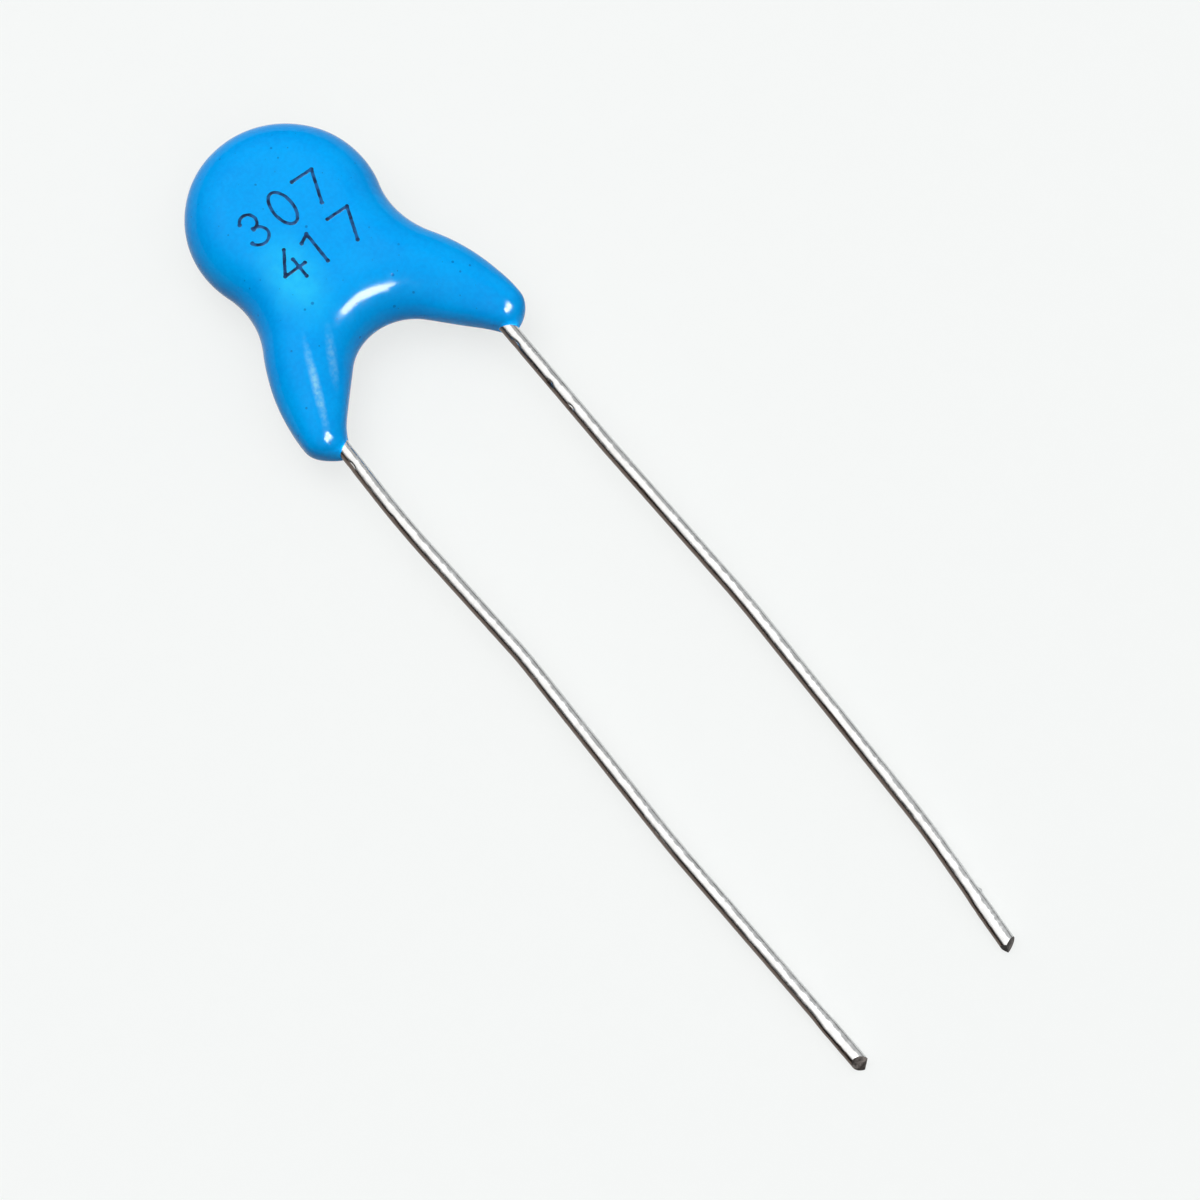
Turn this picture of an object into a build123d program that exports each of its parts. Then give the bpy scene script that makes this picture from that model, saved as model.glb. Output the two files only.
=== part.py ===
"""Ceramic disc capacitor with a dipped epoxy coat and two tinned wire leads.

Frame: +X across the lead pitch, +Y from the lead tips towards the disc, +Z up.
The capacitor lies as it rests on a bench: on the flat underside of its coat and
on the tips of its two leads. The origin is under the middle of its bounding box.

"Reach" is a distance from the disc's centre towards the lead tips, along -Y.
"""

import os
from math import atan2, cos, sqrt

from build123d import *

# Driving dimensions, in millimetres.

# Ceramic element
CERAMIC_RADIUS = 3.0
CERAMIC_THICKNESS = 0.9
CERAMIC_EDGE_BREAK = 0.1
ELECTRODE_RADIUS = 2.6
ELECTRODE_THICKNESS = 0.05

# Leads
LEAD_PITCH = 7.86
WIRE_RADIUS = 0.3
LEAD_REACH = 39.55
RIGHT_LEAD_SHORTFALL = 0.25
SNIP_ANGLE = 24.0
SEAT_END_X = 1.1
SEAT_END_BEHIND = 0.9
SEAT_BEND_X = 2.0
SEAT_EDGE_GAP = 0.2
LEG_BEND_INSET = 0.58
LEG_BEND_BACK = 2.3
INNER_BEND_RADIUS = 1.4
FREE_BEND_RADIUS = 40.0
KINK_RADIUS = 14.0

# Bends of each lead outside the coat: how far it has strayed inwards from its
# pitch line, and at which reach. The last stray is at the tip.
LEFT_BENDS = [(-0.07, 12.6), (0.28, 19.4), (0.17, 28.6)]
LEFT_TIP_STRAY = 0.48
RIGHT_BENDS = [(-0.08, 14.6), (-0.35, 22.6), (-0.2, 33.6)]
RIGHT_TIP_STRAY = 0.24

# Solder joints
SOLDER_FILM = 0.05
SOLDER_LENGTH = 3.4
SOLDER_WIDTH = 1.8
SOLDER_HEIGHT = 0.8
SOLDER_TAPER = 28.0

# Epoxy coat
COAT_RADIUS = 3.85
COAT_THICKNESS = 3.4
WAIST_RADIUS = 3.4
LEG_FLANK_RADIUS = 7.8
LEG_TIP_RADIUS = 0.87
LEG_TIP_REACH = 8.82
LEG_TIP_OFFSET = 0.36
LEG_TIP_THICKNESS = 1.96
LEG_SLOPE_START = 3.7
LEG_SLOPE_BLEND = 9.0
CROTCH_RADIUS = 2.3
CROTCH_REACH = 5.75
RIM_RADIUS = 0.8
COLLAR_REACH = 9.1
COLLAR_LENGTH = 0.9
COLLAR_WALL = 0.1
COLLAR_TAPER = 16.0

# Places that follow from the sizes above.
DISC_Y = (LEAD_REACH - COAT_RADIUS) / 2
MID_Z = COAT_THICKNESS / 2
LEAD_X = LEAD_PITCH / 2
ELECTRODE_FACE = CERAMIC_THICKNESS / 2 + ELECTRODE_THICKNESS
WIRE_SEAT = ELECTRODE_FACE + SOLDER_FILM + WIRE_RADIUS
EXIT_REACH = LEG_TIP_REACH - WIRE_RADIUS


def at(x, reach, z):
    """Point in the part's frame, from its place across, its reach and its height."""
    return Vector(x, DISC_Y - reach, z)


# ---------------------------------------------------------------- ceramic element

with BuildPart() as ceramic_disc:
    with BuildSketch(Plane(at(0, 0, MID_Z - CERAMIC_THICKNESS / 2))):
        Circle(CERAMIC_RADIUS)
    extrude(amount=CERAMIC_THICKNESS)
    fillet(ceramic_disc.edges().filter_by(GeomType.CIRCLE), CERAMIC_EDGE_BREAK)

with BuildPart() as front_electrode:
    with BuildSketch(Plane(at(0, 0, MID_Z + CERAMIC_THICKNESS / 2))):
        Circle(ELECTRODE_RADIUS)
    extrude(amount=ELECTRODE_THICKNESS)

with BuildPart() as back_electrode:
    with BuildSketch(Plane(at(0, 0, MID_Z - CERAMIC_THICKNESS / 2))):
        Circle(ELECTRODE_RADIUS)
    extrude(amount=-ELECTRODE_THICKNESS)


# -------------------------------------------------------------------------- leads


def seated_points(side, face):
    """Inner end, edge bend, leg bend and exit bend of a lead inside the coat.

    side is -1 for the left lead and +1 for the right; face is +1 on the front
    electrode and -1 on the back one.
    """
    seat_z = MID_Z + face * WIRE_SEAT
    edge_reach = CERAMIC_RADIUS + SEAT_EDGE_GAP
    leg_share = LEG_BEND_BACK / (EXIT_REACH - edge_reach)
    return [
        at(side * SEAT_END_X, -SEAT_END_BEHIND, seat_z),
        at(side * SEAT_BEND_X, edge_reach, seat_z),
        at(
            side * (LEAD_X - LEG_BEND_INSET),
            EXIT_REACH - LEG_BEND_BACK,
            MID_Z + face * WIRE_SEAT * leg_share,
        ),
        at(side * LEAD_X, EXIT_REACH, MID_Z),
    ]


def free_points(side, tip_reach, bends):
    """Bends and tip of a lead outside the coat, sloping evenly down to the bench."""
    slope = atan2(MID_Z - WIRE_RADIUS, tip_reach - EXIT_REACH)
    drop = MID_Z - WIRE_RADIUS * cos(slope)
    points = []
    for stray, reach in bends:
        fallen = drop * (reach - EXIT_REACH) / (tip_reach - EXIT_REACH)
        points.append(at(side * (LEAD_X - stray), reach, MID_Z - fallen))
    return points


RIGHT_REACH = LEAD_REACH - RIGHT_LEAD_SHORTFALL

LEFT_PATH = seated_points(-1, 1) + free_points(
    -1, LEAD_REACH, LEFT_BENDS + [(LEFT_TIP_STRAY, LEAD_REACH)]
)
RIGHT_PATH = seated_points(1, -1) + free_points(
    1, RIGHT_REACH, RIGHT_BENDS + [(RIGHT_TIP_STRAY, RIGHT_REACH)]
)
LEFT_RADII = [INNER_BEND_RADIUS] * 3 + [FREE_BEND_RADIUS, KINK_RADIUS, FREE_BEND_RADIUS]
RIGHT_RADII = [INNER_BEND_RADIUS] * 3 + [FREE_BEND_RADIUS] * 3


def snip_plane(path, side):
    """Plane of the cutter's slanted cut, through the outermost corner of the tip."""
    along = (path[-1] - path[-2]).normalized()
    corner = path[-1] + Vector(side * WIRE_RADIUS, 0, 0)
    return Plane(corner, z_dir=along.rotate(Axis.Z, side * SNIP_ANGLE))


with BuildPart() as left_lead:
    with BuildLine() as left_centre_line:
        FilletPolyline(*LEFT_PATH, radius=LEFT_RADII)
    with BuildSketch(Plane(LEFT_PATH[0], z_dir=left_centre_line.line % 0)):
        Circle(WIRE_RADIUS)
    sweep(path=left_centre_line.line)
    split(bisect_by=snip_plane(LEFT_PATH, -1), keep=Keep.BOTTOM)

with BuildPart() as right_lead:
    with BuildLine() as right_centre_line:
        FilletPolyline(*RIGHT_PATH, radius=RIGHT_RADII)
    with BuildSketch(Plane(RIGHT_PATH[0], z_dir=right_centre_line.line % 0)):
        Circle(WIRE_RADIUS)
    sweep(path=right_centre_line.line)
    split(bisect_by=snip_plane(RIGHT_PATH, 1), keep=Keep.BOTTOM)


# ------------------------------------------------------------------ solder joints


def solder_plane(path, face):
    """Plane on an electrode, centred on the wire's seated stretch and along it."""
    along = (path[1] - path[0]).normalized()
    middle = path[0] + along * (SOLDER_LENGTH / 2 - 2 * WIRE_RADIUS)
    foot = Vector(middle.X, middle.Y, MID_Z + face * ELECTRODE_FACE)
    return Plane(foot, x_dir=along, z_dir=(0, 0, face))


with BuildPart() as front_solder_joint:
    with BuildSketch(solder_plane(LEFT_PATH, 1)):
        SlotOverall(SOLDER_LENGTH, SOLDER_WIDTH)
    extrude(amount=SOLDER_HEIGHT, taper=SOLDER_TAPER)
    add(left_lead.part, mode=Mode.SUBTRACT)

with BuildPart() as back_solder_joint:
    with BuildSketch(solder_plane(RIGHT_PATH, -1)):
        SlotOverall(SOLDER_LENGTH, SOLDER_WIDTH)
    extrude(amount=SOLDER_HEIGHT, taper=SOLDER_TAPER)
    add(right_lead.part, mode=Mode.SUBTRACT)


# --------------------------------------------------------------------- epoxy coat


def meeting_centre(first, first_distance, second, second_distance):
    """Point at two given distances from two centres, on the +X side of both."""
    gap = second - first
    along = (first_distance**2 - second_distance**2 + gap.length**2) / (2 * gap.length)
    aside = gap.normalized().cross(Vector(0, 0, -1))
    aside = aside if aside.X > 0 else -aside
    return first + gap.normalized() * along + aside * sqrt(first_distance**2 - along**2)


def towards(start, end, distance):
    """Point a given distance from start, on the line to end."""
    return start + (end - start).normalized() * distance


# Centres of the outline's tangent circles, on the right-hand half.
disc_centre = at(0, 0, 0)
tip_centre = at(LEAD_X + LEG_TIP_OFFSET, LEG_TIP_REACH - LEG_TIP_RADIUS, 0)
flank_centre = tip_centre + Vector(LEG_TIP_RADIUS - LEG_FLANK_RADIUS, 0, 0)
waist_centre = meeting_centre(
    disc_centre, COAT_RADIUS + WAIST_RADIUS, flank_centre, LEG_FLANK_RADIUS + WAIST_RADIUS
)
crotch_centre = at(0, CROTCH_REACH + CROTCH_RADIUS, 0)

# The leg's straight inner edge touches the crotch circle and the tip circle.
between = tip_centre - crotch_centre
crossing = (CROTCH_RADIUS + LEG_TIP_RADIUS) / between.length
square = Vector(-between.Y, between.X, 0).normalized()
inner_normal = square * sqrt(1 - crossing**2) + between.normalized() * crossing

disc_end = towards(disc_centre, waist_centre, COAT_RADIUS)
waist_end = towards(waist_centre, flank_centre, WAIST_RADIUS)
flank_end = tip_centre + Vector(LEG_TIP_RADIUS, 0, 0)
tip_end = tip_centre - inner_normal * LEG_TIP_RADIUS
inner_end = crotch_centre + inner_normal * CROTCH_RADIUS
tip_foot = towards(tip_centre, (flank_end + tip_end) / 2, LEG_TIP_RADIUS)

with BuildPart() as epoxy_coating:
    # Plan outline: disc, waists and splayed legs, one half mirrored.
    with BuildSketch():
        with BuildLine():
            ThreePointArc(
                at(0, -COAT_RADIUS, 0),
                towards(disc_centre, disc_centre + Vector(1, 1, 0), COAT_RADIUS),
                disc_end,
            )
            ThreePointArc(
                disc_end,
                towards(waist_centre, (disc_end + waist_end) / 2, WAIST_RADIUS),
                waist_end,
            )
            ThreePointArc(
                waist_end,
                towards(flank_centre, (waist_end + flank_end) / 2, LEG_FLANK_RADIUS),
                flank_end,
            )
            ThreePointArc(flank_end, tip_foot, tip_end)
            Line(tip_end, inner_end)
            ThreePointArc(
                inner_end,
                towards(crotch_centre, inner_end + at(0, CROTCH_REACH, 0) - crotch_centre,
                        CROTCH_RADIUS),
                at(0, CROTCH_REACH, 0),
            )
            mirror(about=Plane.YZ)
        make_face()
    extrude(amount=COAT_THICKNESS)

    # Side profile: flat over the disc, sloping in from both faces to the leg tips.
    with BuildSketch(Plane.YZ) as side_profile:
        with BuildLine():
            top = FilletPolyline(
                (DISC_Y + 2 * COAT_RADIUS, COAT_THICKNESS),
                (DISC_Y - LEG_SLOPE_START, COAT_THICKNESS),
                (DISC_Y - LEG_TIP_REACH, MID_Z + LEG_TIP_THICKNESS / 2),
                radius=LEG_SLOPE_BLEND,
            )
            bottom = FilletPolyline(
                (DISC_Y + 2 * COAT_RADIUS, 0),
                (DISC_Y - LEG_SLOPE_START, 0),
                (DISC_Y - LEG_TIP_REACH, MID_Z - LEG_TIP_THICKNESS / 2),
                radius=LEG_SLOPE_BLEND,
            )
            Line(top @ 0, bottom @ 0)
            Line(top @ 1, bottom @ 1)
        make_face()
    extrude(amount=LEAD_PITCH + 2 * COAT_RADIUS, both=True, mode=Mode.INTERSECT)

    # Rounded rims on both faces.
    across = epoxy_coating.edges().filter_by(Axis.X)
    upright = epoxy_coating.edges().filter_by(Axis.Z)
    fillet(epoxy_coating.edges() - across - upright, RIM_RADIUS)

    # Collars where the epoxy creeps along each wire.
    for path in (LEFT_PATH, RIGHT_PATH):
        along = (path[4] - path[3]).normalized()
        foot = path[3] + along * ((COLLAR_REACH - EXIT_REACH) / -along.Y)
        with BuildSketch(Plane(foot, z_dir=-along)):
            Circle(WIRE_RADIUS + COLLAR_WALL)
        extrude(amount=COLLAR_LENGTH, taper=-COLLAR_TAPER)

    # Cavity: the coat fits everything inside it face to face.
    for inner in (ceramic_disc, front_electrode, back_electrode, left_lead, right_lead,
                  front_solder_joint, back_solder_joint):
        add(inner.part, mode=Mode.SUBTRACT)


# ------------------------------------------------------------------------- export

ceramic_disc.part.label = "ceramic_disc"
front_electrode.part.label = "front_electrode"
back_electrode.part.label = "back_electrode"
left_lead.part.label = "left_lead"
right_lead.part.label = "right_lead"
front_solder_joint.part.label = "front_solder_joint"
back_solder_joint.part.label = "back_solder_joint"
epoxy_coating.part.label = "epoxy_coating"

os.makedirs("parts", exist_ok=True)
for piece in (ceramic_disc, front_electrode, back_electrode, left_lead, right_lead,
              front_solder_joint, back_solder_joint, epoxy_coating):
    export_step(piece.part, f"parts/{piece.part.label}.step")
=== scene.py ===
"""Looks of a ceramic disc capacitor that lies on a pale bench.

The glossy dipped coat, its inked numbers and the two tinned leads are modelled
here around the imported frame; the sealed inner pieces are the frame's own nodes.
Shapes are modelled in millimetres and turned to metres when a piece is finished.
"""

import logging
import math
from dataclasses import dataclass
from enum import Enum

import bmesh
import bpy
from mathutils import Matrix, Vector, noise
from mathutils.bvhtree import BVHTree
from mathutils.kdtree import KDTree


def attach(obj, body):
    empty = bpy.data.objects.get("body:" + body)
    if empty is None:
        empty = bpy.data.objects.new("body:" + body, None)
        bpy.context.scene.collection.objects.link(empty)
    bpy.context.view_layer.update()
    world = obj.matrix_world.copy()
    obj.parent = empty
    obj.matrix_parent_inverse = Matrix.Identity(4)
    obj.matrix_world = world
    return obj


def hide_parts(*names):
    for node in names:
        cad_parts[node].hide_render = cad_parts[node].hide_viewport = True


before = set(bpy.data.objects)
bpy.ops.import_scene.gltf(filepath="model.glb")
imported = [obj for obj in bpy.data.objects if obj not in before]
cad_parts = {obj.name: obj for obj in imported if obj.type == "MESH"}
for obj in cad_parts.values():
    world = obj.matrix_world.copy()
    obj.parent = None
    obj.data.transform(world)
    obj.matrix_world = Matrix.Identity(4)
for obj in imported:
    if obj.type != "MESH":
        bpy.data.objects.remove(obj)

LOG = logging.getLogger("capacitor")
MM = 0.001
UP = Vector((0.0, 0.0, 1.0))
# The sockets of a colour mix, whose names it shares with other kinds of mix.
MIX_COLOURS = (6, 7)
MIX_RESULT = 2
# How thick a patch of colour is, in millimetres, so that it stays on the upper face.
PATCH_DEPTH = 2.0
# Below this, a length is taken as nothing.
TINY = 1e-6
# The height from which the marking is dropped onto the coat, in millimetres.
DROP_HEIGHT = 10.0


class Side(Enum):
    """The side of the part that a lead is on, as its sign along X."""

    LEFT = -1
    RIGHT = 1


class Face(Enum):
    """The electrode that a lead is soldered to, as its sign along Z."""

    FRONT = 1
    BACK = -1


@dataclass(frozen=True)
class Plan:
    """Sizes that the coat, the leads and the marking share, in millimetres."""

    coat_radius: float = 3.85
    thickness: float = 3.4
    pitch: float = 7.86
    wire_radius: float = 0.3
    exit_reach: float = 8.52
    disc_y: float = 17.85

    @property
    def mid_z(self) -> float:
        """Height of the middle of the coat."""
        return self.thickness / 2

    def at(self, x: float, reach: float, z: float = 0.0) -> Vector:
        """Point from its place across, its reach towards the lead tips and its height."""
        return Vector((x, self.disc_y - reach, z))


PLAN = Plan()


# ------------------------------------------------------------------ mesh helpers


def to_object(bm: bmesh.types.BMesh, name: str) -> bpy.types.Object:
    """Turns a mesh in millimetres into a linked, smooth-shaded object in metres.

    Args:
        bm: the mesh, which is freed.
        name: the new object's name.

    Returns:
        The new object, with its place in its mesh.
    """
    bmesh.ops.recalc_face_normals(bm, faces=bm.faces)
    mesh = bpy.data.meshes.new(name)
    bm.to_mesh(mesh)
    bm.free()
    mesh.transform(Matrix.Scale(MM, 4))
    mesh.polygons.foreach_set("use_smooth", [True] * len(mesh.polygons))
    piece = bpy.data.objects.new(name, mesh)
    bpy.context.scene.collection.objects.link(piece)
    return piece


def voxel_skin(bm: bmesh.types.BMesh, voxel: float) -> bmesh.types.BMesh:
    """Replaces a closed mesh, or several that overlap, by one even skin of quads.

    Args:
        bm: the mesh, which is freed.
        voxel: the size of the new faces.

    Returns:
        The new mesh, in the same units.
    """
    mesh = bpy.data.meshes.new("skin")
    bm.to_mesh(mesh)
    bm.free()
    shell = bpy.data.objects.new("skin", mesh)
    bpy.context.scene.collection.objects.link(shell)
    remesh = shell.modifiers.new("remesh", "REMESH")
    remesh.mode = "VOXEL"
    remesh.voxel_size = voxel
    evaluated = shell.evaluated_get(bpy.context.evaluated_depsgraph_get())
    skinned = bmesh.new()
    skinned.from_mesh(evaluated.to_mesh())
    evaluated.to_mesh_clear()
    bpy.data.objects.remove(shell)
    bpy.data.meshes.remove(mesh)
    return skinned


def wave(place: Vector, size: float, seed: float = 0.0) -> float:
    """Smooth noise from about -1 to 1 whose hills are a given size across."""
    return noise.noise(place / size + Vector((seed, 2.7 * seed, -1.3 * seed)))


def dent(place: Vector, centre: Vector, radius: float) -> float:
    """Round bump of height 1 at a centre, gone at about twice its radius."""
    return math.exp(-((place - centre).length / radius) ** 2)


def ease(low: float, high: float, value: float) -> float:
    """0 below low, 1 above high, and an even S between them."""
    share = min(max((value - low) / (high - low), 0.0), 1.0)
    return share * share * (3.0 - 2.0 * share)


# --------------------------------------------------------------------- materials


class NodeSheet:
    """A material's nodes, with short calls for those that the finishes share."""

    def __init__(self, name: str) -> None:
        """Starts a material with an empty sheet, a shader and an output.

        Args:
            name: the material's name.
        """
        self.material = bpy.data.materials.new(name)
        self.material.use_nodes = True
        self.tree = self.material.node_tree
        self.tree.nodes.clear()
        self.output = self.add("ShaderNodeOutputMaterial")
        self.shader = self.add("ShaderNodeBsdfPrincipled")
        self.link(self.shader, "BSDF", self.output, "Surface")
        self.place = self.add("ShaderNodeTexCoord").outputs["Object"]

    def add(
        self, kind: str, inputs: dict[str, object] | None = None, **settings: object
    ) -> bpy.types.Node:
        """Adds a node and sets its properties, then its inputs.

        Args:
            kind: the node's type.
            inputs: the values of its inputs, by name.
            settings: the values of its properties, by name.

        Returns:
            The new node.
        """
        node = self.tree.nodes.new(kind)
        for key, value in settings.items():
            setattr(node, key, value)
        for key, value in (inputs or {}).items():
            node.inputs[key].default_value = value
        return node

    def link(self, source: bpy.types.Node, output: str, target: bpy.types.Node, socket: str) -> None:
        """Joins one node's named output to another's named input."""
        self.tree.links.new(source.outputs[output], target.inputs[socket])

    def feed(self, value: bpy.types.NodeSocket, target: bpy.types.Node, socket: str | int) -> None:
        """Joins an output socket to a node's input."""
        self.tree.links.new(value, target.inputs[socket])

    def stretch(self, scale: tuple[float, float, float]) -> bpy.types.NodeSocket:
        """Object coordinates, scaled along each axis.

        Args:
            scale: the scale along X, Y and Z.

        Returns:
            The scaled coordinates.
        """
        mapping = self.add("ShaderNodeMapping", {"Scale": scale})
        self.feed(self.place, mapping, "Vector")
        return mapping.outputs["Vector"]

    def clouds(
        self, per_metre: float, detail: float = 3.0, source: bpy.types.NodeSocket | None = None
    ) -> bpy.types.NodeSocket:
        """Smooth noise.

        Args:
            per_metre: how many hills there are to the metre.
            detail: how many finer layers are added.
            source: the coordinates to read, or none for the object's own.

        Returns:
            The noise, from 0 to 1.
        """
        node = self.add("ShaderNodeTexNoise", {"Scale": per_metre, "Detail": detail})
        self.feed(source or self.place, node, "Vector")
        return node.outputs["Fac"]

    def ramp(
        self, value: bpy.types.NodeSocket, low: float, high: float, to_low: float = 0.0, to_high: float = 1.0
    ) -> bpy.types.NodeSocket:
        """Maps a stretch of values onto another, smoothly and clamped.

        Args:
            value: the value to map.
            low: the value at which the result is to_low.
            high: the value at which the result is to_high.
            to_low: the result at low.
            to_high: the result at high.

        Returns:
            The mapped value.
        """
        spans = {"From Min": low, "From Max": high, "To Min": to_low, "To Max": to_high}
        node = self.add("ShaderNodeMapRange", spans, interpolation_type="SMOOTHSTEP")
        self.feed(value, node, "Value")
        return node.outputs["Result"]

    def math(
        self, operation: str, first: bpy.types.NodeSocket, second: bpy.types.NodeSocket | float
    ) -> bpy.types.NodeSocket:
        """One sum of two values.

        Args:
            operation: the kind of sum.
            first: the first value.
            second: the second value, from a socket or as a number.

        Returns:
            The result.
        """
        node = self.add("ShaderNodeMath", operation=operation)
        self.feed(first, node, 0)
        if isinstance(second, float):
            node.inputs[1].default_value = second
        else:
            self.feed(second, node, 1)
        return node.outputs["Value"]

    def blend(
        self,
        share: bpy.types.NodeSocket,
        first: bpy.types.NodeSocket | tuple[float, float, float],
        second: bpy.types.NodeSocket | tuple[float, float, float],
    ) -> bpy.types.NodeSocket:
        """Mixes two colours.

        Args:
            share: how much of the second colour shows, from 0 to 1.
            first: the first colour, from a socket or as numbers.
            second: the second colour, in either form.

        Returns:
            The mixed colour.
        """
        node = self.add("ShaderNodeMix", data_type="RGBA")
        self.feed(share, node, 0)
        for socket, colour in zip(MIX_COLOURS, (first, second)):
            if isinstance(colour, tuple):
                node.inputs[socket].default_value = (*colour, 1.0)
            else:
                self.feed(colour, node, socket)
        return node.outputs[MIX_RESULT]

    def patch(
        self, centre: Vector, half: tuple[float, float], turn: float
    ) -> bpy.types.NodeSocket:
        """Soft oval mask on the upper face.

        Args:
            centre: its middle, in millimetres.
            half: its half sizes, in millimetres.
            turn: its turn in plan, in degrees.

        Returns:
            The mask, from 0 at its edge to 1 in its middle.
        """
        oval = {
            "Location": centre * MM,
            "Rotation": (0.0, 0.0, math.radians(turn)),
            "Scale": (half[0] * MM, half[1] * MM, PATCH_DEPTH * MM),
        }
        mapping = self.add("ShaderNodeMapping", oval, vector_type="TEXTURE")
        self.feed(self.place, mapping, "Vector")
        length = self.add("ShaderNodeVectorMath", operation="LENGTH")
        self.link(mapping, "Vector", length, "Vector")
        return self.ramp(length.outputs["Value"], 1.0, 0.0)

    def bump(self, height: bpy.types.NodeSocket, depth: float, strength: float = 1.0) -> None:
        """Feeds a height to the shader's normal.

        Args:
            height: the height, from 0 to 1.
            depth: how deep a height of 1 is, in metres.
            strength: how much of it shows.
        """
        node = self.add("ShaderNodeBump", {"Strength": strength, "Distance": depth})
        self.feed(height, node, "Height")
        self.link(node, "Normal", self.shader, "Normal")


@dataclass(frozen=True)
class EpoxyFinish:
    """Glossy blue dipped epoxy with dark specks, a painted pale reflection, painted highlight streaks and a
    soft orange peel.
    """

    azure: tuple[float, float, float] = (0.0, 0.395, 0.95)
    deep: tuple[float, float, float] = (0.0, 0.325, 0.87)
    # The pale colour of the painted reflection over the lower numbers.
    painted_sheen: tuple[float, float, float] = (0.02, 0.58, 0.96)
    # The colour of the painted highlight streaks on the left leg and beside the crotch.
    painted_streak_highlight: tuple[float, float, float] = (0.26, 0.66, 0.94)
    speck: tuple[float, float, float] = (0.0, 0.10, 0.42)
    roughness: float = 0.13
    reflection: float = 0.065
    specks_per_metre: tuple[float, float] = (2300.0, 4300.0)
    speck_size: tuple[float, float] = (0.17, 0.13)
    speck_share: tuple[float, float] = (0.45, 0.34)
    speck_edge: tuple[float, float] = (-0.03, 0.05)
    speck_strength: float = 0.62
    speck_sink: float = -0.35
    index: float = 1.5
    peel_depth: float = 0.00002

    def specks(self, sheet: NodeSheet, layer: int) -> bpy.types.NodeSocket:
        """One layer of scattered round specks.

        Args:
            sheet: the sheet that takes the nodes.
            layer: 0 for the large specks and 1 for the small.

        Returns:
            The specks, as a mask.
        """
        scale = {"Scale": self.specks_per_metre[layer]}
        cells = sheet.add("ShaderNodeTexVoronoi", scale, feature="F1")
        sheet.feed(sheet.place, cells, "Vector")
        chance = sheet.add("ShaderNodeSeparateColor")
        sheet.link(cells, "Color", chance, "Color")
        kept = sheet.ramp(
            chance.outputs["Red"], self.speck_share[layer], self.speck_share[layer] - 0.05
        )
        size = sheet.math("MULTIPLY", chance.outputs["Green"], self.speck_size[layer])
        edge = sheet.math("SUBTRACT", size, cells.outputs["Distance"])
        dot = sheet.ramp(edge, *self.speck_edge)
        return sheet.math("MULTIPLY", dot, kept)

    def material(self) -> bpy.types.Material:
        """Builds the finish.

        Returns:
            The epoxy's material.
        """
        sheet = NodeSheet("epoxy_coating")
        mottle = sheet.math(
            "ADD",
            sheet.ramp(sheet.clouds(per_metre=420.0), 0.35, 0.68, to_high=0.55),
            sheet.ramp(sheet.clouds(per_metre=6500.0), 0.35, 0.65, to_high=0.45),
        )
        colour = sheet.blend(mottle, self.azure, self.deep)

        # Painted reflections: a pale sheen over the lower numbers, and highlight streaks down the left leg's
        # ridge and beside the crotch.
        cloud = sheet.ramp(sheet.clouds(per_metre=1500.0, detail=5.0), 0.3, 0.7, to_low=0.5)
        highlight_grain = sheet.ramp(sheet.clouds(per_metre=5200.0), 0.35, 0.7, to_low=0.3)
        for place, half, turn, share, grain, tint in (
            (PLAN.at(-1.55, 2.7, 3.4), (1.6, 2.8), -10.0, 0.9, cloud, self.painted_sheen),
            (PLAN.at(-3.5, 6.6, 2.8), (0.24, 2.4), -23.5, 1.0, highlight_grain, self.painted_streak_highlight),
            (PLAN.at(-2.3, 6.0, 2.8), (0.26, 1.5), -30.0, 0.5, highlight_grain, self.painted_streak_highlight),
        ):
            mask = sheet.patch(place, half, turn)
            mask = sheet.math("MULTIPLY", sheet.math("MULTIPLY", mask, share), grain)
            colour = sheet.blend(mask, colour, tint)

        small = self.specks(sheet, 1)
        large = self.specks(sheet, 0)
        dots = sheet.math("MAXIMUM", small, large)
        colour = sheet.blend(sheet.math("MULTIPLY", dots, self.speck_strength), colour, self.speck)
        sheet.feed(colour, sheet.shader, "Base Color")

        gloss = sheet.ramp(
            sheet.clouds(per_metre=2600.0), 0.3, 0.75, self.roughness - 0.04, self.roughness + 0.06
        )
        sheet.feed(gloss, sheet.shader, "Roughness")
        sheet.shader.inputs["IOR"].default_value = self.index
        sheet.shader.inputs["Specular IOR Level"].default_value = self.reflection
        sunk = sheet.math("MULTIPLY", dots, self.speck_sink)
        peel = sheet.math("ADD", sheet.clouds(per_metre=1300.0, detail=2.0), sunk)
        sheet.bump(peel, self.peel_depth, strength=0.5)
        return sheet.material


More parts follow.
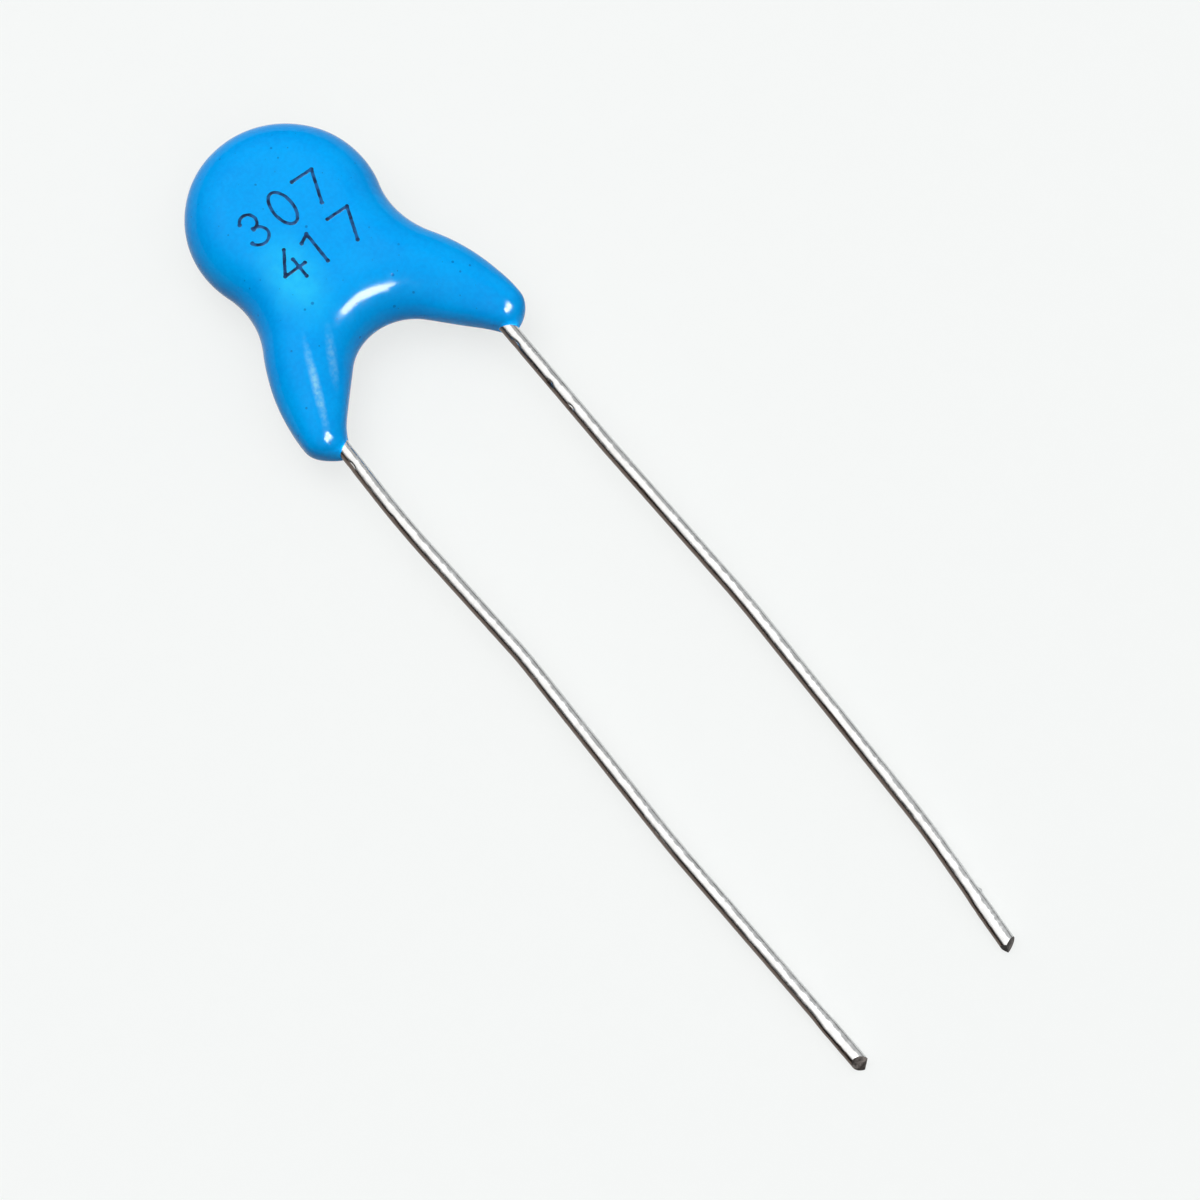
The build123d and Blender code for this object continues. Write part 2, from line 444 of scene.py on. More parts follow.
@dataclass(frozen=True)
class TinnedFinish:
    """Tinned wire: bright drawn metal, with a painted grey reflection down one flank and a painted dark
    reflection down the other.
    """

    tin: tuple[float, float, float] = (0.92, 0.915, 0.90)
    grey: tuple[float, float, float] = (0.62, 0.63, 0.63)
    # The colour of the painted dark reflection down the -X flank.
    painted_dark_reflection: tuple[float, float, float] = (0.15, 0.115, 0.098)
    roughness: float = 0.24
    # Turns round the wire at which the painted dark reflection (-X flank) and the painted grey reflection
    # (+X flank) rise and fall.
    painted_dark_band: tuple[float, float, float, float] = (0.345, 0.372, 0.6, 0.66)
    shade_band: tuple[float, float, float, float] = (-0.2, -0.1, 0.21, 0.226)
    scratch_depth: float = 0.000012

    def band(
        self, sheet: NodeSheet, turn: bpy.types.NodeSocket, edges: tuple[float, float, float, float]
    ) -> bpy.types.NodeSocket:
        """A soft-edged band down one flank of the wire.

        Args:
            sheet: the sheet that takes the nodes.
            turn: the turn round the wire, from 0 to 1.
            edges: the turns between which each of its edges rises or falls.

        Returns:
            The band, as a mask.
        """
        rise, full, fall, gone = edges
        return sheet.math("MULTIPLY", sheet.ramp(turn, rise, full), sheet.ramp(turn, gone, fall))

    def material(self) -> bpy.types.Material:
        """Builds the finish, from the tube's own attribute around it.

        Returns:
            The wire's material.
        """
        sheet = NodeSheet("tinned_wire")
        around = sheet.add("ShaderNodeAttribute", attribute_name="around").outputs["Fac"]
        fine = sheet.clouds(per_metre=3600.0, detail=4.0)
        coarse = sheet.clouds(per_metre=500.0, detail=3.0)
        ragged = sheet.math("ADD", around, sheet.ramp(fine, 0.3, 0.7, -0.011, 0.011))
        ragged = sheet.math("ADD", ragged, sheet.ramp(coarse, 0.25, 0.75, -0.018, 0.018))

        # Painted reflections: a dark band down the -X flank and a grey band down the +X flank, fixed round
        # the wire.
        flank = self.band(sheet, ragged, self.painted_dark_band)
        shade = self.band(sheet, ragged, self.shade_band)
        scratches = sheet.clouds(per_metre=1.0, detail=4.0, source=sheet.stretch((9000.0, 500.0, 9000.0)))
        colour = sheet.blend(sheet.ramp(scratches, 0.62, 0.8, to_high=0.45), self.tin, self.grey)
        colour = sheet.blend(shade, colour, self.grey)
        colour = sheet.blend(flank, colour, self.painted_dark_reflection)
        sheet.feed(colour, sheet.shader, "Base Color")
        sheet.shader.inputs["Metallic"].default_value = 1.0
        gloss = sheet.ramp(fine, 0.3, 0.75, self.roughness - 0.06, self.roughness + 0.1)
        sheet.feed(gloss, sheet.shader, "Roughness")
        sheet.bump(scratches, self.scratch_depth, strength=0.6)
        return sheet.material


@dataclass(frozen=True)
class InkFinish:
    """Navy marking ink, thinner and bluer where it spread less."""

    thick: tuple[float, float, float] = (0.001, 0.018, 0.075)
    thin: tuple[float, float, float] = (0.0, 0.095, 0.31)
    roughness: tuple[float, float] = (0.3, 0.5)
    reflection: float = 0.12
    depth: float = 0.00001

    def material(self) -> bpy.types.Material:
        """Builds the finish.

        Returns:
            The ink's material.
        """
        sheet = NodeSheet("marking_ink")
        share = sheet.ramp(sheet.clouds(per_metre=3200.0, detail=3.0), 0.36, 0.6)
        sheet.feed(sheet.blend(share, self.thick, self.thin), sheet.shader, "Base Color")
        sheet.feed(sheet.ramp(share, 0.0, 1.0, *self.roughness), sheet.shader, "Roughness")
        sheet.shader.inputs["Specular IOR Level"].default_value = self.reflection
        sheet.bump(sheet.clouds(per_metre=9000.0, detail=2.0), self.depth, strength=0.4)
        return sheet.material


@dataclass(frozen=True)
class InnerFinish:
    """Plain finish of a sealed piece or a cut face: two mottled tones with grain."""

    name: str
    tones: tuple[tuple[float, float, float], tuple[float, float, float]]
    grain_per_metre: float
    roughness: tuple[float, float]
    metallic: float = 0.0
    depth: float = 0.00001

    def material(self) -> bpy.types.Material:
        """Builds the finish.

        Returns:
            The piece's material.
        """
        sheet = NodeSheet(self.name)
        grain = sheet.clouds(self.grain_per_metre, detail=5.0)
        mottle = sheet.ramp(sheet.clouds(self.grain_per_metre / 6.0), 0.35, 0.7)
        sheet.feed(sheet.blend(mottle, *self.tones), sheet.shader, "Base Color")
        sheet.feed(sheet.ramp(grain, 0.3, 0.7, *self.roughness), sheet.shader, "Roughness")
        sheet.shader.inputs["Metallic"].default_value = self.metallic
        sheet.bump(grain, self.depth, strength=0.6)
        return sheet.material


CERAMIC = InnerFinish("ceramic", ((0.50, 0.36, 0.22), (0.40, 0.27, 0.16)), 6000.0, (0.6, 0.85))
SILVER = InnerFinish(
    "silver_electrode", ((0.86, 0.85, 0.82), (0.74, 0.73, 0.70)), 9000.0, (0.35, 0.55), 1.0
)
CUT_END = InnerFinish(
    "cut_end", ((0.018, 0.016, 0.015), (0.09, 0.08, 0.075)), 16000.0, (0.4, 0.6), 1.0
)
SOLDER = InnerFinish("solder", ((0.66, 0.66, 0.65), (0.50, 0.50, 0.50)), 3000.0, (0.25, 0.5), 1.0)


# -------------------------------------------------------------------- epoxy coat


@dataclass
class EpoxyCoat:
    """The dipped coat: disc, waists and two splayed legs, all softly rounded."""

    waist_radius: float = 3.4
    flank_radius: float = 7.8
    tip_radius: float = 0.87
    tip_reach: float = 8.82
    tip_offset: float = 0.36
    crotch_radius: float = 2.3
    crotch_reach: float = 5.75
    rim_width: float = 1.8
    leg_rim_width: float = 1.5
    leg_half_thickness: float = 0.95
    tip_drop: float = 0.12
    tip_fullness: float = 0.75
    slope_start: float = 2.9
    slope_past_tip: float = 0.9
    drop_span: tuple[float, float] = (6.8, 8.6)
    rim_span: tuple[float, float] = (3.5, 7.5)
    fullness_span: tuple[float, float] = (6.4, 8.2)
    outline_step: float = 0.05
    shore_step: float = 0.015
    voxel: float = 0.09
    softenings: tuple[int, ...] = (6, 6, 4, 4, 3, 2, 1)
    collar_start: float = 7.4
    collar_width: float = 0.56
    wave_height: float = 0.012
    wave_size: float = 1.9
    sink: float = 0.022
    nib_height: float = 0.05
    nib_width: float = 0.13
    pit_depth: float = 0.03
    pit_width: float = 0.1

    def meeting_centre(
        self, first: Vector, first_distance: float, second: Vector, second_distance: float
    ) -> Vector:
        """Point at two given distances from two centres, on the +X side of both.

        Args:
            first: the first centre.
            first_distance: the distance from it.
            second: the second centre.
            second_distance: the distance from that.

        Returns:
            The point.
        """
        gap = second - first
        along = (first_distance**2 - second_distance**2 + gap.length**2) / (2 * gap.length)
        aside = gap.normalized().cross(UP)
        aside = aside if aside.x > 0 else -aside
        return first + gap.normalized() * along + aside * math.sqrt(first_distance**2 - along**2)

    def outline(self) -> bmesh.types.BMesh:
        """Plan outline: a point spun round the centres of its tangent arcs, then mirrored.

        Returns:
            A mesh that holds the closed outline's vertices and edges.
        """
        disc = PLAN.at(0, 0)
        tip = PLAN.at(PLAN.pitch / 2 + self.tip_offset, self.tip_reach - self.tip_radius)
        flank = tip + Vector((self.tip_radius - self.flank_radius, 0, 0))
        waist = self.meeting_centre(
            disc, PLAN.coat_radius + self.waist_radius, flank, self.flank_radius + self.waist_radius
        )
        crotch = PLAN.at(0, self.crotch_reach + self.crotch_radius)
        between = tip - crotch
        crossing = (self.crotch_radius + self.tip_radius) / between.length
        square = Vector((-between.y, between.x, 0)).normalized()
        inner = square * math.sqrt(1 - crossing**2) + between.normalized() * crossing

        to_waist = (waist - disc).normalized()
        to_flank = (flank - waist).normalized()
        crown = Vector((0, 1, 0))
        east = Vector((1, 0, 0))
        south = Vector((0, -1, 0))
        stops = [
            (disc, crown.angle(to_waist), -1),
            (waist, (-to_waist).angle(to_flank), 1),
            (flank, (-to_flank).angle(east), -1),
            (tip, east.angle(south) + south.angle(-inner), -1),
            (crotch, inner.angle(crown), 1),
        ]
        bm = bmesh.new()
        end = [bm.verts.new(PLAN.at(0, -PLAN.coat_radius))]
        for centre, turn, sense in stops:
            if centre is crotch:
                grown = bmesh.ops.extrude_vert_indiv(bm, verts=end)
                end = grown["verts"]
                bmesh.ops.translate(
                    bm, verts=end, vec=crotch + inner * self.crotch_radius - end[0].co
                )
            radius = (end[0].co - centre).length
            spun = bmesh.ops.spin(
                bm, geom=end, cent=centre, axis=UP, angle=sense * turn,
                steps=max(6, round(radius * turn / self.outline_step)), use_merge=False, use_duplicate=False,
            )
            end = [item for item in spun["geom_last"] if isinstance(item, bmesh.types.BMVert)]
        end[0].co.x = 0.0
        bmesh.ops.mirror(bm, geom=bm.verts[:] + bm.edges[:], axis="X", merge_dist=0.001)
        return bm

    def slab(self) -> bmesh.types.BMesh:
        """The outline filled and raised to the coat's thickness.

        Returns:
            The slab, as an even skin.
        """
        bm = self.outline()
        floor = bmesh.ops.contextual_create(bm, geom=bm.edges[:])["faces"]
        raised = bmesh.ops.extrude_face_region(bm, geom=floor, use_keep_orig=True)["geom"]
        top = [item for item in raised if isinstance(item, bmesh.types.BMVert)]
        bmesh.ops.translate(bm, verts=top, vec=(0, 0, PLAN.thickness))
        bmesh.ops.recalc_face_normals(bm, faces=bm.faces)
        return voxel_skin(bm, self.voxel)

    def shore(self) -> tuple[KDTree, list[tuple[Vector, Vector]]]:
        """Close-set points of the outline with their outward directions.

        Returns:
            A tree of the points, and each point with its direction.
        """
        bm = self.outline()
        samples = []
        for edge in bm.edges:
            start, end = (vert.co.copy() for vert in edge.verts)
            outward = (end - start).normalized().cross(UP)
            if start.x + end.x > 0:
                outward.negate()
            count = max(2, math.ceil((end - start).length / self.shore_step))
            samples.extend((start.lerp(end, step / count), outward) for step in range(count))
        bm.free()
        tree = KDTree(len(samples))
        for index, (point, _) in enumerate(samples):
            tree.insert(point, index)
        tree.balance()
        return tree, samples

    def half_thickness(self, reach: float) -> float:
        """Half the coat's thickness: even over the disc, thinner down the legs.

        Args:
            reach: the reach at which it is measured.

        Returns:
            The half thickness, in millimetres.
        """
        fall = ease(self.slope_start, self.tip_reach + self.slope_past_tip, reach)
        drop = self.tip_drop * ease(*self.drop_span, reach)
        return PLAN.thickness / 2 - (PLAN.thickness / 2 - self.leg_half_thickness) * fall - drop

    def rim(self, reach: float) -> float:
        """Width over which the coat rounds down to its edge, at a reach."""
        return self.rim_width - (self.rim_width - self.leg_rim_width) * ease(*self.rim_span, reach)

    def draw_in(self, bm: bmesh.types.BMesh) -> None:
        """Draws a skin one step onto the coat's rounded form.

        Across any edge, the form is a quarter ellipse: as high as the coat's half
        thickness, and as wide as its rim. It is squarer towards the tips.

        Args:
            bm: the skin, which is moved.
        """
        tree, samples = self.shore()
        for vert in bm.verts:
            flat = Vector((vert.co.x, vert.co.y, 0))
            shore_point, index, gap = tree.find(flat)
            reach = PLAN.disc_y - vert.co.y
            half, rim = self.half_thickness(reach), self.rim(reach)
            outward = flat - shore_point
            inside = samples[index][1].dot(outward) < 0
            depth = gap if inside else -gap
            lift = (vert.co.z - PLAN.mid_z) / half
            slack = 1 - min(depth, rim) / rim
            power = 2.0 + self.tip_fullness * ease(*self.fullness_span, reach)
            tall = abs(lift) ** (power - 1)
            miss = tall * abs(lift) + slack**power - 1
            slope = Vector((0, 0, math.copysign(power * tall / half, lift)))
            if gap > TINY:
                away = -outward / gap if inside else outward / gap
                slope += away * (power * slack ** (power - 1) / rim)
            vert.co -= slope * (miss / max(slope.length_squared, TINY))

    def relax(self, bm: bmesh.types.BMesh, times: int) -> None:
        """Smooths a skin a number of times."""
        for _ in range(times):
            bmesh.ops.smooth_vert(
                bm, verts=bm.verts, factor=0.5, use_axis_x=True, use_axis_y=True, use_axis_z=True
            )

    def build(self) -> bpy.types.Object:
        """Models the coat.

        Returns:
            The coat, in place of the frame's.
        """
        bm = self.slab()
        for times in self.softenings:
            self.draw_in(bm)
            self.relax(bm, times)
        self.draw_in(bm)
        self.relax(bm, 1)
        self.collars(bm)
        self.roughen(bm)
        coat = to_object(bm, "coat")
        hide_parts("epoxy_coating")
        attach(coat, "root")
        coat.data.materials.append(EpoxyFinish().material())
        return coat

    def collars(self, bm: bmesh.types.BMesh) -> None:
        """Draws the legs' tips out along the wires, further on the left than on the right.

        Args:
            bm: the coat's skin, which is moved.
        """
        noses = [(PLAN.at(-3.95, 8.65, 1.4), 0.42), (PLAN.at(4.0, 8.65, 1.4), 0.2)]
        for vert in bm.verts:
            if vert.co.y > PLAN.disc_y - self.collar_start:
                continue
            for nose, length in noses:
                vert.co.y -= length * dent(vert.co, nose, self.collar_width)

    def roughen(self, bm: bmesh.types.BMesh) -> None:
        """Adds the dip's faint unevenness, two nibs on its edge and a pit.

        Args:
            bm: the coat's skin, which is moved.
        """
        nibs = [PLAN.at(3.0, -2.45, 1.9), PLAN.at(4.5, 4.5, 1.9)]
        pit = PLAN.at(3.3, 6.7, 2.45)
        bm.normal_update()
        for vert in bm.verts:
            lift = self.wave_height * wave(vert.co, self.wave_size, 3.0) - self.sink
            lift += sum(self.nib_height * dent(vert.co, nib, self.nib_width) for nib in nibs)
            lift -= self.pit_depth * dent(vert.co, pit, self.pit_width)
            vert.co += vert.normal * lift


# ------------------------------------------------------------------------- leads


@dataclass
class Lead:
    """A tinned wire lead, from its soldered seat to its snipped tip.

    A stray is how far the wire leans towards the middle, at a reach. The free radii are
    those of its bends outside the coat. A mark is its reach, its turn round the wire, its
    width and its depth. A facet is its turn, its tilt and how far back it is cut.
    """

    name: str
    node: str
    side: Side
    face: Face
    tip_reach: float
    strays: list[tuple[float, float]]
    free_radii: list[float]
    marks: list[tuple[float, float, float, float]]
    facets: list[tuple[float, float, float]]
    seat_height: float = 0.85
    inner_radius: float = 1.4
    ring: int = 36
    pace: float = 0.12
    seat_start: tuple[float, float] = (1.1, -0.9)
    seat_end: tuple[float, float] = (2.0, 3.2)
    leg_bend: tuple[float, float] = (0.58, 2.3)
    wear_start: float = 0.2
    wear_sink: float = 0.004
    waves: tuple[tuple[float, float, float], ...] = ((0.004, 0.8, 5.0), (0.003, 0.25, 9.0))
    press_span: tuple[float, float] = (2.9, 1.9)
    press_shape: tuple[float, float] = (0.1, -0.14)
    press_grain: tuple[float, float, float] = (0.012, 0.22, 13.0)
    sharp_angle: float = 38.0

    def path(self) -> list[Vector]:
        """The wire's course.

        Returns:
            Its inner end, its bends and its tip.
        """
        side, seat = self.side.value, self.face.value * self.seat_height
        half_pitch = PLAN.pitch / 2
        start_x, start_reach = self.seat_start
        edge_x, edge_reach = self.seat_end
        leg_in, leg_back = self.leg_bend
        leg_share = leg_back / (PLAN.exit_reach - edge_reach)
        points = [
            PLAN.at(side * start_x, start_reach, PLAN.mid_z + seat),
            PLAN.at(side * edge_x, edge_reach, PLAN.mid_z + seat),
            PLAN.at(
                side * (half_pitch - leg_in), PLAN.exit_reach - leg_back,
                PLAN.mid_z + seat * leg_share,
            ),
            PLAN.at(side * half_pitch, PLAN.exit_reach, PLAN.mid_z),
        ]
        run = self.tip_reach - PLAN.exit_reach
        slope = math.atan2(PLAN.mid_z - PLAN.wire_radius, run)
        drop = PLAN.mid_z - PLAN.wire_radius * math.cos(slope)
        for stray, reach in self.strays:
            fallen = drop * (reach - PLAN.exit_reach) / run
            points.append(PLAN.at(side * (half_pitch - stray), reach, PLAN.mid_z - fallen))
        return points

    def tube(self) -> bmesh.types.BMesh:
        """A ring drawn along the straight runs and spun round the bends.

        Returns:
            The tube, with its own attribute around it.
        """
        points = self.path()
        radii = [self.inner_radius] * 3 + self.free_radii
        bm = bmesh.new()
        around = bm.verts.layers.float.new("around")
        heading = (points[1] - points[0]).normalized()
        across = heading.cross(UP).normalized() * -1
        frame_matrix = Matrix((across, across.cross(heading) * -1, heading)).transposed().to_4x4()
        start = bmesh.ops.create_circle(
            bm, cap_ends=True, segments=self.ring, radius=PLAN.wire_radius,
            matrix=Matrix.Translation(points[0]) @ frame_matrix,
        )["verts"]
        for vert in start:
            spoke = vert.co - points[0]
            turn = math.atan2(spoke.dot(UP), spoke.dot(Vector((1, 0, 0))))
            vert[around] = (turn / math.tau) % 1.0
        edges = [edge for edge in bm.edges if all(vert in start for vert in edge.verts)]
        here = points[0].copy()
        for index in range(1, len(points)):
            heading = (points[index] - here).normalized()
            last = index == len(points) - 1
            turn, cut = 0.0, 0.0
            if not last:
                onward = (points[index + 1] - points[index]).normalized()
                turn = heading.angle(onward)
                cut = radii[index - 1] * math.tan(turn / 2)
            run = (points[index] - here).length - cut
            paces = max(2, round(run / self.pace))
            for _ in range(paces):
                grown = bmesh.ops.extrude_edge_only(bm, edges=edges)["geom"]
                verts = [item for item in grown if isinstance(item, bmesh.types.BMVert)]
                edges = [
                    item for item in grown
                    if isinstance(item, bmesh.types.BMEdge) and all(v in verts for v in item.verts)
                ]
                bmesh.ops.translate(bm, verts=verts, vec=heading * (run / paces))
            here = here + heading * run
            if last:
                break
            aside = (onward - heading * heading.dot(onward)).normalized()
            centre = here + aside * radii[index - 1]
            axis = heading.cross(onward).normalized()
            steps = max(3, round(radii[index - 1] * turn / self.pace))
            for _ in range(steps):
                spun = bmesh.ops.spin(
                    bm, geom=edges, cent=centre, axis=axis, angle=turn / steps, steps=1,
                    use_merge=False, use_duplicate=False,
                )["geom_last"]
                edges = [item for item in spun if isinstance(item, bmesh.types.BMEdge)]
            here = here + (heading + onward) * cut
        bmesh.ops.holes_fill(bm, edges=edges, sides=0)
        bmesh.ops.recalc_face_normals(bm, faces=bm.faces)
        return bm

    def snip(self, bm: bmesh.types.BMesh) -> None:
        """Cuts the tip by the facets that the cutter left.

        Args:
            bm: the tube, which is cut.
        """
        points = self.path()
        heading = (points[-1] - points[-2]).normalized()
        for turn, tilt, back in self.facets:
            normal = heading.copy()
            normal.rotate(Matrix.Rotation(math.radians(turn), 3, "Z"))
            normal.rotate(Matrix.Rotation(math.radians(tilt), 3, heading.cross(UP)))
            geom = bm.verts[:] + bm.edges[:] + bm.faces[:]
            cut = bmesh.ops.bisect_plane(
                bm, geom=geom, plane_co=points[-1] - heading * back, plane_no=normal,
                clear_outer=True,
            )["geom_cut"]
            rim = [item for item in cut if isinstance(item, bmesh.types.BMEdge)]
            bmesh.ops.edgeloop_fill(bm, edges=rim, mat_nr=1)

    def axis_at(self, reach: float) -> Vector:
        """Point on the wire's axis, leaving out the rounding of its bends.

        Args:
            reach: the point's reach.

        Returns:
            The point.
        """
        points = self.path()
        for first, second in zip(points, points[1:]):
            far = PLAN.disc_y - second.y
            if reach <= far or second is points[-1]:
                near = PLAN.disc_y - first.y
                return first.lerp(second, (reach - near) / (far - near))
        return points[-1]

    def wear(self, bm: bmesh.types.BMesh) -> None:
        """Dents the wire: drawing waves, the marks of handling, and a tip the cutter pressed flat.

        Args:
            bm: the tube, which is dented.
        """
        press_start, press_full = self.press_span
        wider, flatter = self.press_shape
        grain_depth, grain_size, grain_seed = self.press_grain
        bm.normal_update()
        spots = []
        for reach, turn, width, depth in self.marks:
            angle = math.tau * turn
            spoke = Vector((math.cos(angle), 0, math.sin(angle))) * PLAN.wire_radius
            spots.append((self.axis_at(reach) + spoke, width, depth))
        for vert in bm.verts:
            reach = PLAN.disc_y - vert.co.y
            if reach < PLAN.exit_reach + self.wear_start:
                continue
            lift = -self.wear_sink
            for height, size, seed in self.waves:
                lift += height * wave(vert.co, size, seed)
            lift -= sum(depth * dent(vert.co, spot, width) for spot, width, depth in spots)
            pressed = ease(self.tip_reach - press_start, self.tip_reach - press_full, reach)
            if pressed > 0:
                spoke = vert.co - self.axis_at(reach)
                vert.co += Vector((wider * spoke.x, 0, flatter * spoke.z)) * pressed
                lift -= grain_depth * abs(wave(vert.co, grain_size, grain_seed)) * pressed
            vert.co += vert.normal * lift

    def build(self, metal: bpy.types.Material, cut: bpy.types.Material) -> bpy.types.Object:
        """Models the lead.

        Args:
            metal: the tinned wire's material.
            cut: the material of its snipped end.

        Returns:
            The lead, in place of the frame's.
        """
        bm = self.tube()
        self.wear(bm)
        self.snip(bm)
        lead = to_object(bm, self.name)
        lead.data.set_sharp_from_angle(angle=math.radians(self.sharp_angle))
        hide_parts(self.node)
        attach(lead, "root")
        lead.data.materials.append(metal)
        lead.data.materials.append(cut)
        return lead


# ----------------------------------------------------------------------- marking


@dataclass
class Marking:
    """Plain inked numbers on the coat's face, drawn in single strokes."""

    cap_height: float = 1.37
    digit_width: float = 0.86
    stroke: float = 0.066
    blob: float = 0.088
    ink_height: float = 0.014
    voxel: float = 0.021
    drift_height: float = 0.012
    drift_size: float = 0.16

    def run(self, bm: bmesh.types.BMesh, start: Vector, end: Vector) -> None:
        """One short straight length of ink.

        Args:
            bm: the mesh that takes it.
            start: its one end.
            end: its other end.
        """
        heading = end - start
        tilt = heading.to_track_quat("Z", "Y").to_matrix().to_4x4()
        bmesh.ops.create_cone(
            bm, cap_ends=True, segments=12, radius1=self.stroke, radius2=self.stroke,
            depth=heading.length + self.stroke * 0.6,
            matrix=Matrix.Translation((start + end) / 2) @ tilt,
        )

    def line(self, bm: bmesh.types.BMesh, start: Vector, end: Vector) -> None:
        """One straight stroke, with a round blob of ink at each end."""
        self.run(bm, start, end)
        self.dots(bm, start, end)

    def arc(
        self, bm: bmesh.types.BMesh, centre: Vector, radii: tuple[float, float], start: float, turn: float
    ) -> None:
        """One curved stroke round a centre.

        Args:
            bm: the mesh that takes it.
            centre: the point it runs round.
            radii: its radii along X and Y.
            start: the angle it starts at, in degrees.
            turn: how far round it goes, in degrees.
        """
        count = max(10, round(abs(turn) / 11))
        stops = []
        for step in range(count + 1):
            angle = math.radians(start + turn * step / count)
            stops.append(
                centre + Vector((radii[0] * math.cos(angle), radii[1] * math.sin(angle), 0))
            )
        for first, second in zip(stops, stops[1:]):
            self.run(bm, first, second)
        if abs(turn) < 360:
            self.dots(bm, stops[0], stops[-1])

    def dots(self, bm: bmesh.types.BMesh, *places: Vector) -> None:
        """Round blobs where the pen stopped."""
        for place in places:
            bmesh.ops.create_icosphere(
                bm, subdivisions=2, radius=self.blob, matrix=Matrix.Translation(place)
            )

    def digit(self, bm: bmesh.types.BMesh, figure: str, corner: Vector) -> None:
        """One figure, from its lower left corner.

        Args:
            bm: the mesh that takes its strokes.
            figure: which figure to draw.
            corner: the lower left corner of its box.
        """
        wide, tall = self.digit_width, self.cap_height

        def spot(x: float, y: float) -> Vector:
            """Point in the figure's box, as shares of its width and height."""
            return corner + Vector((x * wide, y * tall, 0))

        if figure == "1":
            self.line(bm, spot(0.0, 0.85), spot(0.44, 1.0))
            self.line(bm, spot(0.44, 1.0), spot(0.42, 0.0))
        elif figure == "0":
            self.arc(bm, spot(0.5, 0.53), (0.46 * wide, 0.55 * tall), 90, 360)
        elif figure == "3":
            self.arc(bm, spot(0.45, 0.76), (0.38 * wide, 0.25 * tall), 160, -250)
            self.arc(bm, spot(0.45, 0.27), (0.46 * wide, 0.27 * tall), 90, -255)
        elif figure == "4":
            self.line(bm, spot(0.72, 1.0), spot(0.0, 0.34))
            self.line(bm, spot(0.0, 0.34), spot(1.08, 0.34))
            self.line(bm, spot(0.76, 0.62), spot(0.76, 0.0))
        elif figure == "7":
            self.line(bm, spot(0.0, 1.0), spot(1.05, 0.98))
            self.line(bm, spot(1.05, 0.98), spot(0.45, 0.0))

    def build(self, coat: bpy.types.Object) -> bpy.types.Object:
        """Draws both rows and lays the ink on the coat.

        Args:
            coat: the coat, whose upper surface the ink follows.

        Returns:
            The marking.
        """
        rows = [
            ("307", 0.93, (-1.98, -0.62, 0.72)),
            ("417", 2.97, (-1.82, -0.52, 0.86)),
        ]
        bm = bmesh.new()
        for figures, reach, places in rows:
            for figure, x in zip(figures, places):
                self.digit(bm, figure, PLAN.at(x, reach))
        bm = voxel_skin(bm, self.voxel)
        surface = BVHTree.FromObject(coat, bpy.context.evaluated_depsgraph_get())
        for vert in bm.verts:
            drift = Vector(
                (wave(vert.co, self.drift_size, 11.0), wave(vert.co, self.drift_size, 17.0), 0)
            ) * self.drift_height
            flat = vert.co + drift
            hit = surface.ray_cast(Vector((flat.x, flat.y, DROP_HEIGHT)) * MM, -UP)[0]
            vert.co = Vector((flat.x, flat.y, hit.z / MM + self.ink_height * flat.z / self.stroke))
        marking = to_object(bm, "marking")
        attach(marking, "root")
        marking.data.materials.append(InkFinish().material())
        return marking


# ---------------------------------------------------------------------- the part


@dataclass
class Element:
    """The sealed inner pieces, which are the frame's own nodes."""

    def dress(self) -> list[str]:
        """Gives each inner node its finish.

        Returns:
            The names of the nodes.
        """
        finishes = {
            "ceramic_disc": CERAMIC,
            "front_electrode": SILVER,
            "back_electrode": SILVER,
            "front_solder_joint": SOLDER,
            "back_solder_joint": SOLDER,
        }
        made = {finish.name: finish.material() for finish in set(finishes.values())}
        for node, finish in finishes.items():
            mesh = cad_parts[node].data
            mesh.materials.clear()
            mesh.materials.append(made[finish.name])
        return list(finishes)


# ------------------------------------------------------------------------ studio


